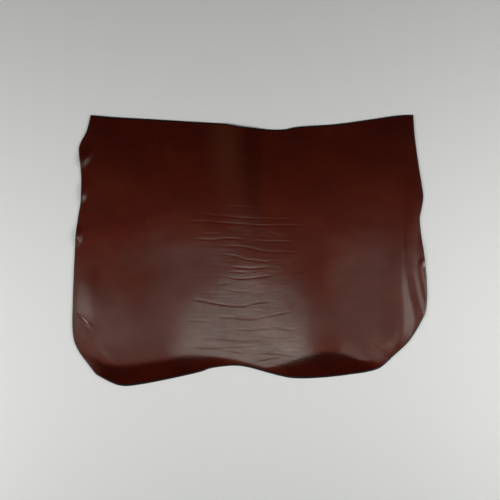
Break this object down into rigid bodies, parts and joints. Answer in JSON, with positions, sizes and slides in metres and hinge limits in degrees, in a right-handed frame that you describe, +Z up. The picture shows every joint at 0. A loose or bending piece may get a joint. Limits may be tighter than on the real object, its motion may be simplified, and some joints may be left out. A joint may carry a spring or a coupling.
{
  "type": "leather hide",
  "caption": "Thick polished leather shoulder hide, cut straight along its top and natural in outline elsewhere, lying grain side up with creases across its neck and curled lower margins.",
  "frame": {"origin": "centre of the hide's outline, on the floor that it lies on", "axes": "+X along the hide's width, +Y from the neck's lower edge to the straight cut at the top, +Z up from the floor, out of the grain side"},
  "size_m": [1.2994, 0.9922, 0.0176],
  "materials": {
    "hide": "polished dark red-brown grain side, matt fibrous flesh side, dark cut edge"
  },
  "bodies": {
    "root": {"hide": "hide"}
  },
  "joints": []
}
